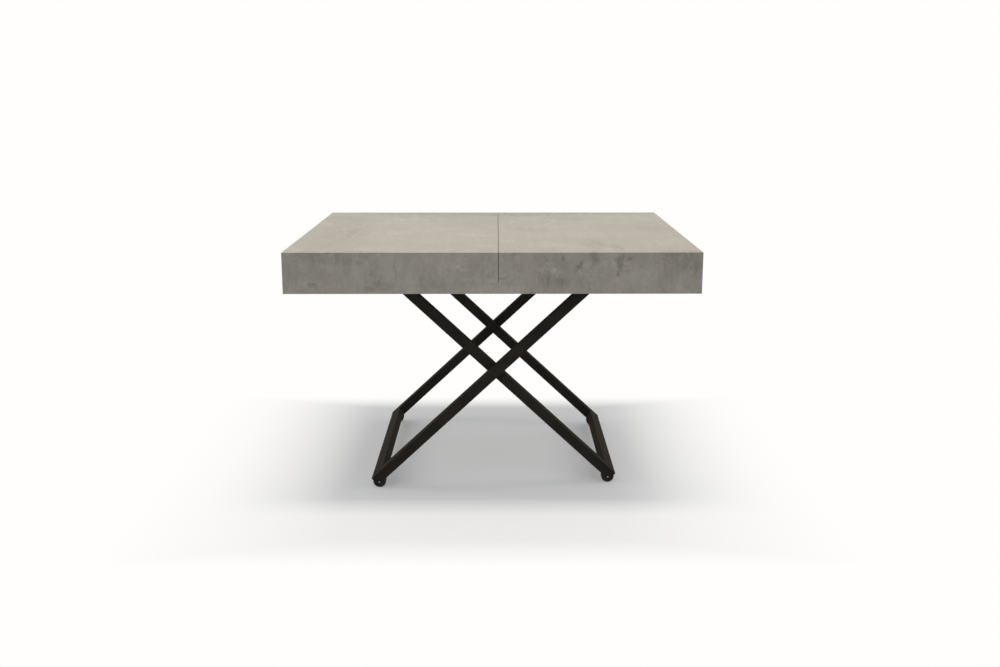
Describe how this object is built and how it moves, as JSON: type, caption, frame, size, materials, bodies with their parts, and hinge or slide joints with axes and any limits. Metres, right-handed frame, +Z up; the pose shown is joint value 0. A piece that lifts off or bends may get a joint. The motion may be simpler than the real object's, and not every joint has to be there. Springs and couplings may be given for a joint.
{
  "type": "convertible coffee dining table",
  "caption": "Box-topped table on crossed square-tube legs that fold to lower it from dining to coffee height, with a split top that slides apart.",
  "frame": {"origin": "on the floor, under the middle of the top", "axes": "+X along the table, +Y from its front to its back, +Z up"},
  "size_m": [1.2, 0.8, 0.7674],
  "materials": {
    "concrete_board": "matt concrete-look laminate on chipboard",
    "black_steel": "fine satin powder coat",
    "zinc_steel": "bright zinc",
    "aluminium": "mill-finish extrusion",
    "black_nylon": "moulded, fine grain",
    "grey_felt": "needle felt",
    "beech": "sawn, unfinished"
  },
  "bodies": {
    "right_axle_root": {"right_axle": "zinc_steel"},
    "inner_frame": {"inner_leg_front": "black_steel", "inner_leg_rear": "black_steel", "inner_base_bar": "black_steel", "inner_knuckles": "black_nylon", "pivot_bushes": "black_nylon"},
    "outer_frame": {"outer_leg_front": "black_steel", "outer_leg_rear": "black_steel", "outer_base_bar": "black_steel", "outer_knuckles": "black_nylon", "pivot_bolts": "black_steel", "pivot_nuts": "black_steel", "left_axle": "zinc_steel"},
    "top_frame": {"bearer_front": "black_steel", "bearer_rear": "black_steel", "rail_front": "aluminium", "rail_rear": "aluminium", "end_plates": "black_steel", "cross_member": "black_steel", "hinge_rod": "zinc_steel", "hinge_spacers": "black_nylon", "rod_bracket": "zinc_steel", "gas_rod": "zinc_steel", "leaf_pads": "grey_felt", "lever_bracket": "black_steel"},
    "slide_carriage": {"slide_rod": "zinc_steel", "slide_shoes": "black_nylon", "slide_spacers": "black_nylon", "gas_cylinder": "black_steel"},
    "left_half": {"left_panel": "concrete_board", "left_front_apron": "concrete_board", "left_rear_apron": "concrete_board", "left_end_apron": "concrete_board", "left_runner_front": "aluminium", "left_runner_rear": "aluminium", "left_bracket_front": "zinc_steel", "left_bracket_rear": "zinc_steel", "left_bracket_screws": "zinc_steel", "left_glue_blocks": "beech", "seam_dowels": "beech"},
    "right_half": {"right_panel": "concrete_board", "right_front_apron": "concrete_board", "right_rear_apron": "concrete_board", "right_end_apron": "concrete_board", "right_runner_front": "aluminium", "right_runner_rear": "aluminium", "right_bracket_front": "zinc_steel", "right_bracket_rear": "zinc_steel", "right_bracket_screws": "zinc_steel", "right_glue_blocks": "beech"},
    "stored_leaf": {"extension_leaf": "concrete_board"},
    "lever": {"release_lever": "black_steel", "lever_grip": "black_nylon"},
    "valve_pin": {"release_pin": "zinc_steel"},
    "left_front_wheel": {"left_wheel_front": "black_nylon"},
    "left_rear_wheel": {"left_wheel_rear": "black_nylon"},
    "right_front_wheel": {"right_wheel_front": "black_nylon"},
    "right_rear_wheel": {"right_wheel_rear": "black_nylon"}
  },
  "joints": [
    {"name": "lift", "type": "hinge", "parent": "right_axle_root", "child": "inner_frame", "pos_m": [0.36137, 0, 0.02], "axis": [0, -1, 0], "range_deg": [0, 28]},
    {"name": "scissor", "type": "hinge", "parent": "inner_frame", "child": "outer_frame", "pos_m": [0.004, 0, 0.36982], "axis": [0, 1, 0], "range_deg": [0, 56]},
    {"name": "top_hinge", "type": "hinge", "parent": "outer_frame", "child": "top_frame", "pos_m": [0.34096, 0, 0.68736], "axis": [0, -1, 0], "range_deg": [0, 28]},
    {"name": "slide_pivot", "type": "hinge", "parent": "inner_frame", "child": "slide_carriage", "pos_m": [-0.33296, 0, 0.68736], "axis": [0, 1, 0], "range_deg": [0, 28]},
    {"name": "left_half_slide", "type": "slide", "parent": "top_frame", "child": "left_half", "axis": [-1, 0, 0], "range_m": [0, 0.3]},
    {"name": "right_half_slide", "type": "slide", "parent": "top_frame", "child": "right_half", "axis": [1, 0, 0], "range_m": [0, 0.3]},
    {"name": "leaf_lift", "type": "slide", "parent": "top_frame", "child": "stored_leaf", "axis": [0, 0, 1], "range_m": [0, 0.012]},
    {"name": "lever_turn", "type": "hinge", "parent": "top_frame", "child": "lever", "pos_m": [0.0626, -0.04, 0.68736], "axis": [0, 0, 1], "range_deg": [0, 6], "stiffness_Nm_per_rad": 3},
    {"name": "pin_press", "type": "slide", "parent": "top_frame", "child": "valve_pin", "axis": [-1, 0, 0], "range_m": [0, 0.0047]},
    {"name": "left_front_wheel_spin", "type": "hinge", "parent": "outer_frame", "child": "left_front_wheel", "pos_m": [-0.35337, 0, 0.02], "axis": [0, 1, 0], "continuous": true},
    {"name": "left_rear_wheel_spin", "type": "hinge", "parent": "outer_frame", "child": "left_rear_wheel", "pos_m": [-0.35337, 0, 0.02], "axis": [0, 1, 0], "continuous": true},
    {"name": "right_front_wheel_spin", "type": "hinge", "parent": "right_axle_root", "child": "right_front_wheel", "pos_m": [0.36137, 0, 0.02], "axis": [0, 1, 0], "continuous": true},
    {"name": "right_rear_wheel_spin", "type": "hinge", "parent": "right_axle_root", "child": "right_rear_wheel", "pos_m": [0.36137, 0, 0.02], "axis": [0, 1, 0], "continuous": true}
  ],
  "couplings": [
    {"joint": "scissor", "follows": "lift", "ratio": 2},
    {"joint": "top_hinge", "follows": "lift", "ratio": 1},
    {"joint": "slide_pivot", "follows": "lift", "ratio": 1},
    {"joint": "pin_press", "follows": "lever_turn", "m_per_rad": 0.044}
  ]
}
